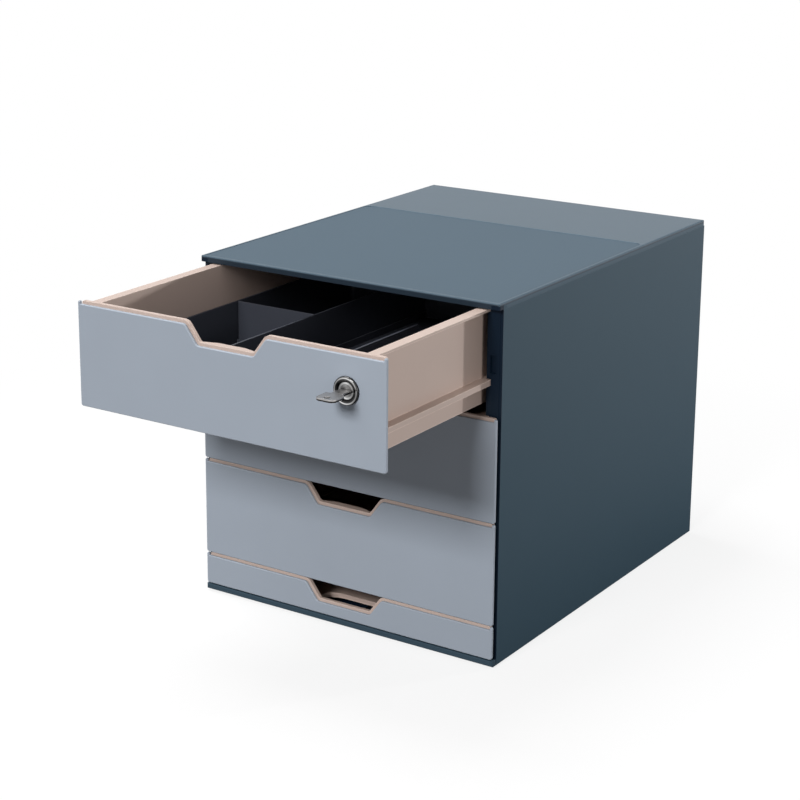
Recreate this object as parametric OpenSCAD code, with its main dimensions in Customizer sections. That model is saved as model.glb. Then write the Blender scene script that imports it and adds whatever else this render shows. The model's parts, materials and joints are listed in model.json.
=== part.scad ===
/* [Casing] */
// Width of the casing
case_w = 280; // [250:1:330]
// Depth of the casing, over the closed drawer fronts
case_d = 356; // [330:1:420]
// Thickness of the side walls and of the back
wall_t = 2.4; // [1.8:0.1:3.2]
// Width of the guide rails inside the side walls
rail_w = 10.9; // [9.5:0.1:12.5]
// Thickness of each guide rail
rail_t = 2.2; // [1.6:0.1:3]
// Depth of the front and rear stiles of a side wall
stile_d = 4; // [3:0.5:8]
// Width of the pocket in a front stile
pocket_w = 5; // [3:0.5:6]
// Height of the pocket in a front stile
pocket_h = 14; // [6:0.5:20]
// Depth of the pocket in a front stile
pocket_d = 2; // [1:0.1:2.5]
// Height of the lip round the top
top_lip_h = 5.1; // [4.6:0.1:8]
// Thickness of the plate of the top
top_t = 2.2; // [1.8:0.1:2.8]
// Width of the rim under the front and back of the top
top_rim_w = 5; // [4:0.5:8]
// Rounding of the outer edges of the casing
edge_r = 1.6; // [0.6:0.1:1.8]
// Width of a side wall's corner that shows beside the lip of the top
corner_w = 7; // [4:0.5:10]
// Height of that corner
corner_h = 3; // [2:0.1:3.2]
// Length of the matt field on the top, from the front
field_l = 240; // [150:1:300]
// Margin between the matt field and the edges of the top
field_inset = 2.5; // [2:0.1:8]
// Depth of the matt field
field_depth = 0.4; // [0.2:0.1:0.8]
// Corner radius at the back of the matt field
field_r = 7; // [3:0.5:14]
// Height of the lip along the front of the base
base_lip_h = 5; // [4.6:0.1:10]
// Thickness of the plate of the base
base_t = 2.6; // [2.2:0.1:3.4]
// Thickness of the stiffening ribs of the top, base and back
rib_t = 1.6; // [1.2:0.1:2.4]
// Height of the stiffening ribs of the back
rib_h = 4; // [2:0.5:5]
// Diameter of a rubber foot
foot_d = 16; // [10:1:24]
// Thickness of a rubber foot
foot_t = 3; // [2.4:0.1:3.6]
// Height of a rubber foot that shows below the base
foot_proud = 1.5; // [1.4:0.1:2.2]
// Distance of a foot's centre from the sides, front and back
foot_inset = 24; // [16:1:50]

/* [Drawers] */
// Height of a tall drawer's front, with its rim
tall_front_h = 82.8; // [75:0.1:100]
// Height of the flat bottom drawer's front, with its rim
flat_front_h = 27; // [25:0.1:40]
// Space above and below each front
front_gap = 1; // [0.6:0.1:2]
// Space between a front's ends and the sides of the casing
front_side_gap = 0.8; // [0.2:0.1:1.5]
// Thickness of a front panel
front_t = 2.4; // [2:0.1:3.6]
// Corner radius of a front panel
front_corner_r = 2; // [2:0.5:6]
// Rounding of a front panel's outer edges
front_edge_r = 1.8; // [0.4:0.1:1.9]
// Height of the tray's rim that shows above a front panel
rim_h = 2.4; // [1:0.1:3]
// Width of the grip notch at the rim
notch_w = 73.5; // [66:0.5:90]
// Width of the grip notch at its bottom
notch_bottom_w = 51; // [36:0.5:58]
// Depth of the grip notch
notch_h = 15; // [10:0.5:15.5]
// Corner radius of the grip notch
notch_r = 4.5; // [3.5:0.5:6]
// Thickness of a tray's walls
tray_wall = 2; // [1.6:0.1:2.6]
// Thickness of a tray's floor
tray_floor = 2; // [1.4:0.1:3]
// Corner radius inside a tray
tray_r = 6; // [3:0.5:12]
// Thickness of the front wall of a tray, which carries the panel
skirt_t = 3; // [2.4:0.1:4]
// Distance from the end of a front panel to the end of the tray's front wall
skirt_inset = 2.6; // [2.5:0.1:6]
// Distance from the lower edge of a front panel to the tray's front wall
skirt_drop = 1.5; // [0.5:0.1:2]
// Depth of the grip lip behind the panel, at the bottom of the notch
lip_d = 6.5; // [5:0.1:8]
// Thickness of the grip lip
lip_t = 2; // [1.4:0.1:2.4]
// Part of the notch's width that the grip lip keeps at its free edge
lip_taper = 0.5; // [0.3:0.05:0.9]
// Distance from the lower edge of a tall front to its tray's floor
tall_tray_drop = 7.5; // [4:0.1:12]
// Distance from the lower edge of the flat front to its tray's floor
flat_tray_drop = 2.2; // [1:0.1:3]
// Width of the flange along a tall tray's sides
flange_w = 6.8; // [5.5:0.1:8]
// Thickness of the flange
flange_t = 2; // [1.4:0.1:2.6]
// Width of the runner along a tray's sides
runner_w = 8; // [7:0.1:9]
// Height of the runner
runner_h = 4.5; // [4:0.1:6]
// Thickness of the runner's walls
runner_t = 1.8; // [1.4:0.1:2]
// Distance from a tall tray's rim down to its runner
runner_drop = 55; // [40:1:60]
// Height of the stop at the rear of a runner
stop_rise = 2.5; // [1.5:0.1:3]
// Length of the stop
stop_l = 8; // [4:0.5:12]
// Width of the finger cut-out in the flat tray's floor
finger_w = 76; // [50:1:120]
// Depth of the finger cut-out
finger_d = 26; // [20:1:50]
// Corner radius of the finger cut-out
finger_r = 18; // [6:1:18]
// Width and height of the bead round the finger cut-out
finger_bead = 1.8; // [1:0.1:3]
// Diameter of the pegs that hold a front panel
peg_d = 5; // [3:0.5:6]
// Free space behind a closed tray
tray_rear_gap = 15; // [6:1:25]
// Travel of a drawer from closed to its stop
travel = 250; // [150:5:260]
// How far the top drawer stands open
open_at_rest = 150; // [0:5:150]

/* [Organiser] */
// Thickness of the organiser's walls and floor
org_wall = 1.6; // [1.2:0.1:2.2]
// Thickness of the divider plates
divider_t = 1.6; // [1.2:0.1:2.4]
// Distance of the left divider from the middle
left_divider_x = -41; // [-70:1:-20]
// Distance of the right divider from the middle
right_divider_x = 56; // [30:1:70]
// Height of the right divider above the organiser's rim
right_divider_rise = 7; // [0:0.5:15]
// Distance from the organiser's front to the cross divider
cross_divider_y = 156; // [80:1:220]
// Height of the ribs that hold the divider plates
divider_rib_h = 6; // [3:0.5:10]

/* [Lock] */
// Distance from the right end of the front panel to the lock's centre
lock_inset = 32.7; // [32.2:0.1:34.5]
// Distance from the front panel's upper edge to the lock's centre
lock_drop = 25.5; // [24:0.1:30]
// Diameter of the lock's bezel
bezel_d = 21; // [20.5:0.5:26]
// Height of the bezel in front of the panel
bezel_h = 2.2; // [1.6:0.1:3]
// Diameter of the lock's barrel
barrel_d = 18; // [16:0.5:18.5]
// Width of the barrel across its two flats
barrel_flats = 15.5; // [15:0.1:16]
// Length of the barrel behind the nut
barrel_tail = 4.5; // [3:0.1:6]
// Width of the nut across its flats
nut_flats = 23; // [22:0.5:24]
// Thickness of the nut
nut_t = 4; // [3:0.5:5]
// Diameter of the plug's face
plug_d = 13.4; // [12.5:0.1:14]
// Diameter of the plug behind its face
plug_body_d = 11; // [10:0.1:11.5]
// Length of the plug's face
plug_head_l = 4; // [3:0.5:6]
// Width of the cam
cam_w = 10; // [8:0.5:11]
// Thickness of the cam
cam_t = 2; // [1.5:0.1:2.5]
// How far the cam reaches behind the stile when it is locked
cam_hold = 3.5; // [2:0.1:5]
// Diameter of the cam screw's head
screw_head_d = 8; // [7:0.5:9]
// Thickness of the cam screw's head
screw_head_t = 1.8; // [1.2:0.1:2.4]
// Diameter of the cam screw's shank
screw_d = 3.2; // [2.5:0.1:4]
// Thickness of the key
key_t = 2; // [1.5:0.1:2.4]
// Width of the key's blade
blade_w = 7; // [5:0.1:7.5]
// Length of the key's blade inside the plug
blade_l = 10; // [6:0.5:10.5]
// Width of the key's bow
bow_w = 16; // [14:0.5:22]
// Length of the key's bow
bow_l = 15; // [12:0.5:22]
// Length of the stem between the plug and the bow
stem_l = 12; // [8:0.5:16]
// Width of the stem
stem_w = 9; // [8:0.5:10]

/* [Clearances] */
// Space between a tray's walls and the rails
tray_clear = 4.7; // [3.5:0.1:5]
// Space between a runner and the rail that carries it
slide_gap = 0.3; // [0.2:0.1:0.5]
// Space round a runner or flange in a stile's slot
slot_gap = 0.5; // [0.4:0.1:0.8]
// Space between a closed drawer and its stops
stop_gap = 0.3; // [0.2:0.1:0.6]
// Space between a front panel and the edge of the side wall
edge_gap = 3.6; // [0.4:0.1:4]
// Space between pieces that are pushed together
push_gap = 0.1; // [0.05:0.01:0.2]
// Space round the organiser and its dividers
org_gap = 0.4; // [0.2:0.1:0.8]
// Running space round the lock's plug
plug_gap = 0.05; // [0.03:0.01:0.1]
// Space round the key's blade
key_gap = 0.2; // [0.1:0.05:0.3]
// Space between the cam and what it passes
cam_gap = 0.6; // [0.4:0.1:1]

/* [Hidden] */
$fn = 64;
eps = 0.01;
arc_steps = 5;
drawers = 4;
flat = drawers;
case_colour = "#3c4c57";
front_colour = "#9ba5b0";
tray_colour = "#c9b5ad";
organiser_colour = "#232528";
rubber_colour = "#1d1e20";
steel_colour = "#c3c6c9";

// Places across the width
half_w = case_w / 2;
skin_x = half_w - wall_t;
rail_x = skin_x - rail_w;
tray_half = rail_x - tray_clear;
tray_in = tray_half - tray_wall;
runner_x = tray_half + runner_w;
front_half = half_w - front_side_gap;
skirt_half = front_half - skirt_inset;
ear_x = skirt_half + stop_gap;
rib_x = [-1, 0, 1] * rail_x / 2;

// Places along the depth, with the drawers closed
front_y = -case_d / 2;
rear_y = case_d / 2;
front_back_y = front_y + front_t;
skirt_back_y = front_back_y + skirt_t;
skin_front_y = front_back_y + edge_gap;
stile_front_y = skirt_back_y + stop_gap;
stile_back_y = stile_front_y + stile_d;
lip_back_y = min(skin_front_y, stile_front_y) - stop_gap;
back_y = rear_y - wall_t;
tray_rear_y = back_y - tray_rear_gap;
stop_y = stile_back_y + travel + stop_gap;

// Heights
base_top_z = foot_proud + base_t;
base_lip_z = foot_proud + base_lip_h;
flat_z = base_lip_z + front_gap;
function front_h(n) = n == flat ? flat_front_h : tall_front_h;
function front_z(n) =
    n == flat ? flat_z : flat_z + flat_front_h + front_gap + (3 - n) * (tall_front_h + front_gap);
function rim_z(n) = front_z(n) + front_h(n);
function panel_top_z(n) = rim_z(n) - rim_h;
function tray_z(n) = front_z(n) + (n == flat ? flat_tray_drop : tall_tray_drop);
function runner_z(n) = n == flat ? rim_z(n) : rim_z(n) - runner_drop;
open_top_z = rim_z(1) + front_gap;
case_h = open_top_z + top_lip_h;
plate_z = case_h - top_t;

// Tongues of the side walls, the base and the back
tongue_l = 14;
tongue_t = 1.2;
tongue_h = 2;
tab_d = 1.2;
tongue_y = [-1, 0, 1] * case_d / 3;
tab_z = [0.25, 0.5, 0.75] * open_top_z;

// Corner radius at the free edge of a grip lip
lip_r = 4;

// Pegs of a front: distances from the middle, and parts of the panel's height
peg_x = [0.36, 0.6] * front_half;
peg_tall = [0.2, 0.7];
peg_flat = [0.35];

// Lock, with its axis along the depth
lock_x = front_half - lock_inset;
lock_z = panel_top_z(1) - lock_drop;
barrel_rear_y = skirt_back_y + nut_t + barrel_tail;
plug_front_y = front_y - bezel_h / 2;
shoulder_y = barrel_rear_y + stop_gap;
cam_reach = rail_x + cam_hold - lock_x;
cam_rear_y = shoulder_y + cam_t;
bezel_flat = 2;
plug_bevel = 0.4;
tenon_w = 6;
screw_bite = 2;
screw_l = cam_t + screw_bite;
screw_slot_w = 1.2;
key_hole_d = 4.5;
bow_end_r = 4;
bow_neck_r = 3;
stem_r = 1;
blade_tip_r = 2;

// Organiser, as high as the cam allows
org_z = tray_z(1) + tray_floor;
org_rim_z = lock_z - cam_w / 2 - cam_gap;
org_half = tray_in - org_gap;
org_front_y = barrel_rear_y + cam_gap;
org_rear_y = tray_rear_y - tray_wall - org_gap;
org_r = tray_r - org_gap;
org_in = org_half - org_wall;
cross_y = org_front_y + cross_divider_y;

// Outlines

function unit(v) = v / norm(v);

// Turns each corner of an outline into an arc of its own radius
function rounded(points, radii) = [
    for (i = [0 : len(points) - 1])
        let (
            last = len(points),
            corner = points[i],
            to_last = unit(points[(i + last - 1) % last] - corner),
            to_next = unit(points[(i + 1) % last] - corner),
            half = acos(to_last * to_next) / 2,
            centre = corner + unit(to_last + to_next) * radii[i] / sin(half),
            start = corner + to_last * radii[i] / tan(half) - centre,
            end = corner + to_next * radii[i] / tan(half) - centre,
            from = atan2(start.y, start.x),
            turn = atan2(start.x * end.y - start.y * end.x, start * end),
            steps = radii[i] > 0 ? arc_steps : 0
        )
        for (k = [0 : steps])
            steps == 0 ? corner
                : centre + radii[i] * [cos(from + turn * k / steps), sin(from + turn * k / steps)]
];

// Rectangle between two corners, with a radius for each corner from the first one round
function plate(low, high, radii) =
    rounded([low, [high.x, low.y], high, [low.x, high.y]], radii);

// Half the notch's width at a height below the panel's edge, for an edge grown by a margin
function notch_half(depth, grown) =
    let (run = (notch_w - notch_bottom_w) / 2)
        notch_w / 2 - run * depth / notch_h - grown * norm([run, notch_h]) / notch_h;

// Outline of a front with its grip notch, its upper edge and its notch grown by a margin
function front_outline(half, low_z, edge_z, grown, corner_r) =
    let (
        top = edge_z + grown,
        bottom = top - notch_h,
        wide = notch_half(-grown, grown),
        narrow = notch_half(notch_h - grown, grown)
    )
    rounded(
        [
            [-half, low_z], [half, low_z], [half, top], [wide, top],
            [narrow, bottom], [-narrow, bottom], [-wide, top], [-half, top]
        ],
        [
            corner_r, corner_r, corner_r, notch_r + grown,
            notch_r - grown, notch_r - grown, notch_r + grown, corner_r
        ]
    );

// Outline of a front panel: lower than the tray's rim, with an ear at each end that covers the rim's end
function panel_outline(low_z, edge_z) =
    let (
        bottom = edge_z - notch_h,
        wide = notch_half(0, 0),
        narrow = notch_half(notch_h, 0),
        ear_z = edge_z + rim_h,
        ear_w = front_half - ear_x,
        outer_r = min(front_corner_r, ear_w * 0.8),
        inner_r = ear_w * 0.15
    )
    rounded(
        [
            [-front_half, low_z], [front_half, low_z], [front_half, ear_z], [ear_x, ear_z],
            [ear_x, edge_z], [wide, edge_z], [narrow, bottom], [-narrow, bottom],
            [-wide, edge_z], [-ear_x, edge_z], [-ear_x, ear_z], [-front_half, ear_z]
        ],
        [
            front_corner_r, front_corner_r, outer_r, inner_r, 0, notch_r,
            notch_r, notch_r, notch_r, 0, inner_r, outer_r
        ]
    );

// Extrusions of an outline along each direction

module along_x(from, to) {
    translate([from, 0, 0])
        rotate([90, 0, 90])
            linear_extrude(to - from)
                children();
}

module along_y(from, to) {
    translate([0, to, 0])
        rotate([90, 0, 0])
            linear_extrude(to - from)
                children();
}

module along_z(from, to) {
    translate([0, 0, from])
        linear_extrude(to - from)
            children();
}

// Box between two corners
module block(low, high) {
    translate(low)
        cube(high - low);
}

// A piece on the right and its mirror image on the left
module both_sides() {
    children();
    mirror([1, 0, 0])
        children();
}

// Top drawer pieces stand open
module opened() {
    translate([0, -open_at_rest, 0])
        children();
}

// Moves what is drawn about the origin to the lock's axis
module at_lock(y) {
    translate([lock_x, y, lock_z])
        children();
}

// Casing

// Tongues on top of a side wall, or their sockets in the top
module tongues(grown) {
    middle = skin_x + wall_t / 2;
    for (y = tongue_y)
        block(
            [middle - tongue_t / 2 - grown, y - tongue_l / 2 - grown, open_top_z - eps],
            [middle + tongue_t / 2 + grown, y + tongue_l / 2 + grown, open_top_z + tongue_h + grown]
        );
}

// Tab at the right edge of the base or the back, or its socket in the side wall
module tab(middle, size, grown) {
    half = size / 2 + grown * [1, 1];
    block(
        [skin_x - eps, middle.x - half.x, middle.y - half.y],
        [skin_x + tab_d + grown, middle.x + half.x, middle.y + half.y]
    );
}

module base_tabs(grown) {
    for (y = tongue_y)
        tab([y, foot_proud + base_t / 2], [tongue_l, tongue_t], grown);
}

module back_tabs(grown) {
    for (z = tab_z)
        tab([back_y + wall_t / 2, z], [tongue_t, tongue_l], grown);
}

module top_panel() {
    color(case_colour) {
        difference() {
            intersection() {
                along_y(front_y, rear_y)
                    polygon(plate([-half_w, open_top_z], [half_w, case_h], [0, 0, edge_r, edge_r]));
                along_x(-half_w, half_w)
                    polygon(plate([front_y, open_top_z], [rear_y, case_h], [0, 0, edge_r, edge_r]));
                along_z(open_top_z, case_h)
                    polygon(plate([-half_w, front_y], [half_w, rear_y], edge_r * [1, 1, 1, 1]));
            }
            block(
                [-rail_x, front_y + top_rim_w, open_top_z - eps],
                [rail_x, back_y - top_rim_w, plate_z]
            );
            along_z(case_h - field_depth, case_h + eps)
                polygon(plate(
                    [-half_w + field_inset, front_y + field_inset],
                    [half_w - field_inset, front_y + field_l],
                    [0, 0, field_r, field_r]
                ));
            both_sides() {
                tongues(push_gap);
                block(
                    [half_w - corner_w - push_gap, front_y - eps, open_top_z - eps],
                    [half_w + eps, stile_back_y + push_gap, open_top_z + corner_h + push_gap]
                );
            }
        }
        for (x = rib_x)
            block(
                [x - rib_t / 2, front_y + top_rim_w - eps, open_top_z],
                [x + rib_t / 2, back_y - top_rim_w + eps, plate_z + eps]
            );
    }
}

module base_panel() {
    color(case_colour)
        difference() {
            union() {
                block([-skin_x, front_y + edge_r, foot_proud], [skin_x, rear_y, base_top_z]);
                intersection() {
                    along_x(-half_w, half_w)
                        polygon(plate(
                            [front_y, foot_proud], [lip_back_y, base_lip_z],
                            [edge_r, 0, 0, edge_r / 2]
                        ));
                    along_z(foot_proud - eps, base_lip_z + eps)
                        polygon(plate(
                            [-half_w, front_y], [half_w, lip_back_y], [edge_r, edge_r, 0, 0]
                        ));
                }
                base_ribs();
                both_sides()
                    base_tabs(0);
            }
            for (x = [-1, 1], y = [-1, 1])
                translate([x * (half_w - foot_inset), y * (rear_y - foot_inset), foot_proud - eps])
                    cylinder(d = foot_d + 2 * push_gap, h = foot_t - foot_proud + eps);
        }
}

// Grid of ribs inside the base, as high as its lip
module base_ribs() {
    for (x = rib_x)
        block(
            [x - rib_t / 2, lip_back_y - eps, base_top_z - eps],
            [x + rib_t / 2, back_y - stile_d, base_lip_z]
        );
    for (y = [-1, 0, 1] * rear_y / 2)
        block(
            [-tray_half, y - rib_t / 2, base_top_z - eps],
            [tray_half, y + rib_t / 2, base_lip_z]
        );
}

// Right side wall: an outer wall, two stiles, a pair of rails for each drawer and a front corner
module side_panel() {
    color(case_colour)
        difference() {
            union() {
                block([skin_x, skin_front_y, foot_proud], [half_w, rear_y, open_top_z]);
                for (y = [stile_front_y, back_y - stile_d])
                    block([rail_x, y, base_top_z], [skin_x + eps, y + stile_d, open_top_z]);
                for (n = [1 : drawers])
                    rails(n);
                tongues(0);
                along_z(open_top_z - eps, open_top_z + corner_h)
                    polygon(plate(
                        [half_w - corner_w, front_y], [half_w, stile_back_y], [0, edge_r, 0, 0]
                    ));
            }
            for (n = [1 : drawers]) {
                stile_slot(runner_x, runner_z(n) - runner_h, runner_z(n));
                if (n != flat) {
                    stile_slot(tray_half + flange_w, rim_z(n) - flange_t, rim_z(n));
                    stile_pocket(n);
                }
            }
            base_tabs(push_gap);
            back_tabs(push_gap);
        }
}

// The rail that carries a runner, and the one that keeps it from tipping
module rails(n) {
    carry_z = runner_z(n) - runner_h - slide_gap;
    guide_z = runner_z(n) + stop_rise + slot_gap;
    for (z = [carry_z - rail_t, guide_z])
        block([rail_x, stile_back_y - eps, z], [skin_x + eps, back_y, z + rail_t]);
}

// Slot in the front stile that a runner or a flange passes through
module stile_slot(reach, low_z, high_z) {
    block(
        [rail_x - eps, stile_front_y - eps, low_z - slide_gap],
        [reach + slot_gap, stile_back_y + eps, high_z + slot_gap]
    );
}

// Pocket in the front stile above a runner
module stile_pocket(n) {
    middle_x = rail_x + rail_w / 2;
    low_z = runner_z(n) + stop_rise + slot_gap + rail_t;
    block(
        [middle_x - pocket_w / 2, stile_front_y - eps, low_z],
        [middle_x + pocket_w / 2, stile_front_y + pocket_d, low_z + pocket_h]
    );
}

module right_side_panel() {
    side_panel();
}

module left_side_panel() {
    mirror([1, 0, 0])
        side_panel();
}

module back_panel() {
    color(case_colour) {
        block([-skin_x, back_y, base_top_z], [skin_x, rear_y, open_top_z]);
        for (x = rib_x)
            block(
                [x - rib_t / 2, back_y - rib_h, base_lip_z + stop_gap],
                [x + rib_t / 2, back_y + eps, open_top_z - stop_gap]
            );
        both_sides()
            back_tabs(0);
    }
}

module foot(side, end) {
    color(rubber_colour)
        translate([side * (half_w - foot_inset), end * (rear_y - foot_inset), 0])
            rotate_extrude()
                polygon(plate([0, 0], [foot_d / 2, foot_t], [0, foot_proud / 2, 0, 0]));
}

// Drawers

// Tray: a basin with a front wall for the panel, a grip lip, runners and flanges
module tray(n) {
    color(tray_colour)
        difference() {
            union() {
                basin(n);
                along_y(front_back_y, skirt_back_y)
                    polygon(front_outline(
                        skirt_half, front_z(n) + skirt_drop, panel_top_z(n), rim_h, skirt_drop
                    ));
                grip_lip(n);
                both_sides() {
                    runner(n);
                    if (n != flat)
                        flange(n);
                }
                if (n == flat)
                    finger_rim(n);
            }
            along_y(front_back_y - eps, skirt_back_y + eps)
                pegs(n, peg_d + 2 * push_gap);
            if (n == flat)
                along_z(tray_z(n) - eps, rim_z(n))
                    finger_hole(0);
            if (n == 1) {
                along_y(front_back_y - eps, skirt_back_y + eps)
                    barrel_section(push_gap);
                cam_slot();
            }
        }
}

// Floor, sides and back of a tray
module basin(n) {
    outer_r = tray_r + tray_wall;
    difference() {
        along_z(tray_z(n), rim_z(n))
            polygon(plate(
                [-tray_half, front_back_y + eps], [tray_half, tray_rear_y], [0, 0, outer_r, outer_r]
            ));
        along_z(tray_z(n) + tray_floor, rim_z(n) + eps)
            polygon(plate(
                [-tray_in, front_back_y], [tray_in, tray_rear_y - tray_wall], [0, 0, tray_r, tray_r]
            ));
    }
}

// Lip behind the bottom of the grip notch, narrower towards its free edge
module grip_lip(n) {
    top_z = rim_z(n) - notch_h;
    half = notch_half(notch_h - rim_h, rim_h);
    free_half = half * lip_taper;
    free_y = front_back_y + lip_d;
    along_z(top_z - lip_t, top_z)
        polygon(rounded(
            [
                [-half, skirt_back_y - eps], [half, skirt_back_y - eps],
                [free_half, free_y], [-free_half, free_y]
            ],
            [0, 0, lip_r, lip_r]
        ));
}

// Flange along the upper edge of a tray's side
module flange(n) {
    block(
        [tray_in, front_back_y, rim_z(n) - flange_t],
        [tray_half + flange_w, tray_rear_y - tray_r, rim_z(n)]
    );
}

// Runner with a turned-down edge, and the block that stops the drawer at the end of its travel
module runner(n) {
    z = runner_z(n);
    along_y(front_back_y + eps, tray_rear_y - tray_r)
        polygon([
            [tray_in + eps, z], [runner_x, z], [runner_x, z - runner_h],
            [runner_x - runner_t, z - runner_h], [runner_x - runner_t, z - runner_t],
            [tray_in + eps, z - runner_t]
        ]);
    block([tray_half - eps, stop_y, z - eps], [runner_x, stop_y + stop_l, z + stop_rise]);
}

// Slot in the tray's right wall that the cam turns out through
module cam_slot() {
    past = 1;
    corner_reach = norm([cam_reach, cam_w / 2]);
    wall_reach = tray_in - lock_x - cam_gap;
    rise = sqrt(corner_reach * corner_reach - wall_reach * wall_reach);
    block(
        [tray_in - past, shoulder_y - cam_gap, lock_z - cam_w / 2 - cam_gap],
        [tray_half + past, cam_rear_y + cam_gap, lock_z + rise + cam_gap]
    );
}

// Sections of the pegs behind a front panel, or of their holes
module pegs(n, d) {
    for (side = [-1, 1], x = peg_x, part = n == flat ? peg_flat : peg_tall)
        translate([side * x, front_z(n) + part * (front_h(n) - rim_h)])
            circle(d = d);
}

// Outline of the finger cut-out behind the flat tray's front, grown by a margin
module finger_hole(grown) {
    half = finger_w / 2 + grown;
    corner_r = finger_r + grown;
    polygon(plate(
        [-half, skirt_back_y], [half, skirt_back_y + finger_d + grown],
        [0, 0, corner_r, corner_r]
    ));
}

// Bead round the finger cut-out
module finger_rim(n) {
    floor_z = tray_z(n) + tray_floor;
    along_z(floor_z - eps, floor_z + finger_bead)
        finger_hole(finger_bead);
}

// Front panel with its pegs
module front_panel(n) {
    low = front_z(n);
    high = panel_top_z(n);
    edges = [front_edge_r, 0, 0, front_edge_r];
    color(front_colour)
        difference() {
            union() {
                intersection() {
                    along_y(front_y, front_back_y)
                        polygon(panel_outline(low, high));
                    union() {
                        along_x(-ear_x, ear_x)
                            polygon(plate([front_y, low], [front_back_y, high], edges));
                        both_sides()
                            along_x(ear_x - eps, half_w)
                                polygon(plate([front_y, low], [front_back_y, rim_z(n)], edges));
                    }
                    along_z(low - eps, rim_z(n) + eps)
                        polygon(plate(
                            [-front_half, front_y], [front_half, front_back_y],
                            [front_edge_r, front_edge_r, 0, 0]
                        ));
                }
                along_y(front_back_y - eps, skirt_back_y)
                    pegs(n, peg_d);
            }
            if (n == 1)
                along_y(front_y - eps, front_back_y + eps)
                    barrel_section(push_gap);
        }
}

// Organiser in the top drawer

module organiser_tray() {
    color(organiser_colour)
        opened() {
            difference() {
                along_z(org_z, org_rim_z)
                    polygon(plate(
                        [-org_half, org_front_y], [org_half, org_rear_y], org_r * [1, 1, 1, 1]
                    ));
                along_z(org_z + org_wall, org_rim_z + eps)
                    polygon(plate(
                        [-org_in, org_front_y + org_wall], [org_in, org_rear_y - org_wall],
                        (org_r - org_wall) * [1, 1, 1, 1]
                    ));
            }
            divider_grooves();
        }
}

// Pairs of low ribs on the floor that hold the divider plates
module divider_grooves() {
    past = 1;
    floor_z = org_z + org_wall;
    rib_z = floor_z + divider_rib_h;
    inner_y = org_front_y + org_wall;
    groove = divider_t / 2 + push_gap;
    cross_end = left_divider_x - groove;
    difference() {
        for (side = [-1, 1]) {
            shift = side * (groove + org_wall / 2);
            for (run = [[left_divider_x, org_rear_y - org_wall], [right_divider_x, cross_y]])
                block(
                    [run[0] + shift - org_wall / 2, inner_y - eps, floor_z - eps],
                    [run[0] + shift + org_wall / 2, run[1] + eps, rib_z]
                );
            block(
                [-org_in - eps, cross_y + shift - org_wall / 2, floor_z - eps],
                [cross_end, cross_y + shift + org_wall / 2, rib_z]
            );
        }
        block([-org_in, cross_y - groove, floor_z], [cross_end, cross_y + groove, rib_z + past]);
    }
}

module left_divider() {
    color(organiser_colour)
        opened()
            block(
                [left_divider_x - divider_t / 2, org_front_y + org_wall + org_gap, org_z + org_wall],
                [left_divider_x + divider_t / 2, org_rear_y - org_wall - org_gap, org_rim_z]
            );
}

// Taller plate with its free end rounded
module right_divider() {
    color(organiser_colour)
        opened()
            along_x(right_divider_x - divider_t / 2, right_divider_x + divider_t / 2)
                polygon(plate(
                    [org_front_y + org_wall + org_gap, org_z + org_wall],
                    [cross_y, org_rim_z + right_divider_rise],
                    [0, 0, org_wall, org_wall]
                ));
}

module cross_divider() {
    color(organiser_colour)
        opened()
            block(
                [-org_in + org_gap, cross_y - divider_t / 2, org_z + org_wall],
                [left_divider_x - divider_t / 2 - push_gap, cross_y + divider_t / 2, org_rim_z]
            );
}

// Lock

// Round section of the barrel with two flats, about the lock's axis
module barrel_section(grown) {
    translate([lock_x, lock_z])
        intersection() {
            circle(d = barrel_d + 2 * grown);
            square([barrel_d + 2 * grown, barrel_flats + 2 * grown], center = true);
        }
}

// Solid turned about the lock's axis, from an outline of radius against depth
module turned(y) {
    at_lock(y)
        rotate([-90, 0, 0])
            rotate_extrude()
                children();
}

// Barrel with a dished bezel, bored for the plug
module lock_barrel() {
    past = 1;
    plug_r = plug_d / 2 + plug_gap;
    body_r = plug_body_d / 2 + plug_gap;
    dish_r = bezel_d / 2 - bezel_flat;
    head_rear = bezel_h / 2 + plug_head_l + plug_gap;
    bore_rear = barrel_rear_y - front_y + bezel_h + past;
    color(steel_colour)
        opened()
            difference() {
                union() {
                    turned(front_y - bezel_h)
                        polygon(plate([0, 0], [bezel_d / 2, bezel_h], [0, bezel_h / 2, 0, 0]));
                    along_y(front_y - eps, barrel_rear_y)
                        barrel_section(0);
                }
                turned(front_y - bezel_h)
                    polygon([
                        [0, -eps], [dish_r, -eps], [plug_r, bezel_h / 2], [plug_r, head_rear],
                        [body_r, head_rear], [body_r, bore_rear], [0, bore_rear]
                    ]);
            }
}

module lock_nut() {
    color(steel_colour)
        opened()
            along_y(skirt_back_y, skirt_back_y + nut_t)
                translate([lock_x, lock_z])
                    difference() {
                        rotate(30)
                            circle(d = nut_flats / cos(30), $fn = 6);
                        circle(d = barrel_d + 2 * push_gap);
                    }
}

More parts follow.
